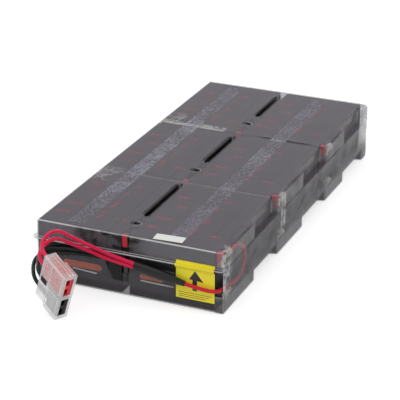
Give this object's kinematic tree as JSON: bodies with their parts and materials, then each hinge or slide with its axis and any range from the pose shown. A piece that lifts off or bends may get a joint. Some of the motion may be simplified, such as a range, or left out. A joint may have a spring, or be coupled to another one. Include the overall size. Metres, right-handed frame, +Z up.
{
  "type": "ups battery cartridge",
  "caption": "Replacement battery cartridge for an uninterruptible power supply: sealed batteries between two formed trays, wired in series to a quick-fit connector on short leads.",
  "frame": {"origin": "on the floor under the middle of the two trays, taken without the leads and connector", "axes": "+Z up out of the top sheet, +Y along the pack from its lead end to its back, +X towards the side with the wiring channel"},
  "size_m": [0.2102, 0.55, 0.0736],
  "materials": {
    "battery_case": "moulded, dark grey",
    "tray_sheet": "formed clear sheet, slightly smoky",
    "adhesive": "transparent tape",
    "label_white": "blank label stock",
    "label_yellow": "blank warning-coloured label",
    "block_red": "moulded",
    "block_black": "moulded",
    "tinned": "tinned brass, stamped",
    "nylon": "clear nylon",
    "wire_black": "flexible insulation",
    "wire_red": "flexible insulation",
    "shrink_sleeve": "shrunk tube",
    "connector_clear": "clear moulding",
    "housing_red": "moulded",
    "housing_black": "moulded"
  },
  "bodies": {
    "root": {"battery_left_1": "battery_case", "battery_left_2": "battery_case", "battery_left_3": "battery_case", "battery_right_1": "battery_case", "battery_right_2": "battery_case", "battery_right_3": "battery_case", "positive_terminal_blocks": "block_red", "negative_terminal_blocks": "block_black", "terminal_blades": "tinned", "wire_receptacles": "tinned", "nylon_sleeves": "nylon", "top_tray": "tray_sheet", "bottom_tray": "tray_sheet", "left_adhesive_strip": "adhesive", "right_adhesive_strip": "adhesive", "top_label": "label_white", "front_label": "label_yellow", "front_right_jumper": "wire_black", "rear_right_jumper": "wire_black", "rear_left_jumper": "wire_black", "front_left_jumper": "wire_black", "cross_jumper": "wire_black", "positive_lead": "wire_red", "splice_sleeve": "shrink_sleeve", "red_lead_outer": "wire_red", "red_lead_inner": "wire_red", "black_lead_upper": "wire_black", "black_lead_lower": "wire_black", "connector_shell_front": "connector_clear", "connector_shell_rear": "connector_clear", "red_contact_housing": "housing_red", "black_contact_housing": "housing_black", "connector_contacts": "tinned"}
  },
  "joints": []
}
